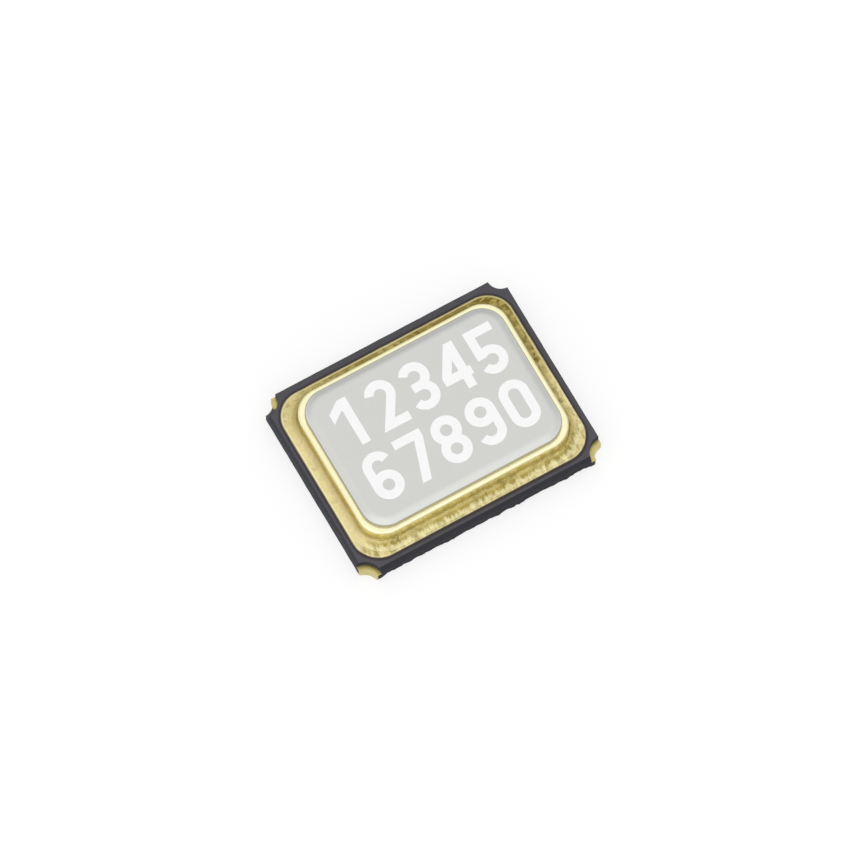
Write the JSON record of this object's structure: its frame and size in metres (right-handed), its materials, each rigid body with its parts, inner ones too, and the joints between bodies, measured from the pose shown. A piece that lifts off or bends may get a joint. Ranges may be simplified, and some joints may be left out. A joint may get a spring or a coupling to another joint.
{
  "type": "crystal oscillator",
  "caption": "Surface-mount crystal oscillator: dark ceramic package with corner terminals, gold seal ring and a welded metal lid.",
  "frame": {"origin": "on the mounting plane, under the middle of the package", "axes": "+Z up out of the circuit board, +X along the package's length, terminal 1 at -X -Y, marking read with +Y up"},
  "size_m": [0.0032, 0.0024, 0.0006],
  "materials": {
    "dark_ceramic": "matte",
    "gold_plating": "satin",
    "braze_metal": "satin",
    "ring_plating": "satin",
    "nickel_lid": "satin",
    "white_ink": "matte",
    "tungsten_fill": "matte",
    "silicon": "gloss",
    "gold_wire": "satin",
    "silver_adhesive": "matte",
    "quartz": "gloss",
    "silver_film": "satin"
  },
  "bodies": {
    "root": {"ceramic_base": "dark_ceramic", "terminal_1": "gold_plating", "terminal_2": "gold_plating", "terminal_3": "gold_plating", "terminal_4": "gold_plating", "seal_metal": "gold_plating", "braze": "braze_metal", "seal_ring": "ring_plating", "lid": "nickel_lid", "lid_marking": "white_ink", "terminal_vias": "tungsten_fill", "quartz_vias": "tungsten_fill", "seal_via": "tungsten_fill", "die_tracks": "gold_plating", "oscillator_die": "silicon", "die_bumps": "gold_wire", "quartz_pad_1": "gold_plating", "quartz_pad_2": "gold_plating", "adhesive_1": "silver_adhesive", "adhesive_2": "silver_adhesive", "quartz_blank": "quartz", "electrode_upper": "silver_film", "electrode_lower": "silver_film"}
  },
  "joints": []
}
